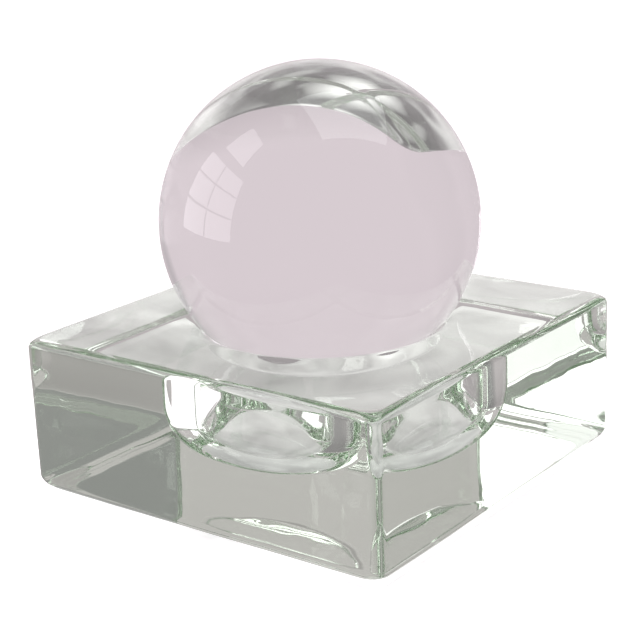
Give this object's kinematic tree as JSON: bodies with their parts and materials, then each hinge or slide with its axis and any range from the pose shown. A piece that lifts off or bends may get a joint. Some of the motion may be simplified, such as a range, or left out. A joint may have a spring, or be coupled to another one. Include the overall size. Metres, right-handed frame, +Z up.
{
  "type": "paperweight",
  "caption": "Clear glass desk paperweight: a square block with rounded edges and a round well in its top, closed by a loose solid glass ball.",
  "frame": {"origin": "centre of the flat face that the block stands on", "axes": "+Z up, along the common axis of the well and the ball; X and Y square to the block's sides"},
  "size_m": [0.1, 0.1, 0.0985],
  "materials": {
    "block_glass": "clear pressed glass with a faint green tint, polished",
    "ball_glass": "clear colourless glass, polished"
  },
  "bodies": {
    "block": {"block": "block_glass"},
    "ball": {"ball": "ball_glass"}
  },
  "joints": [
    {"name": "ball_lift", "type": "slide", "parent": "block", "child": "ball", "axis": [0, 0, 1], "range_m": [0, 0.06]}
  ]
}
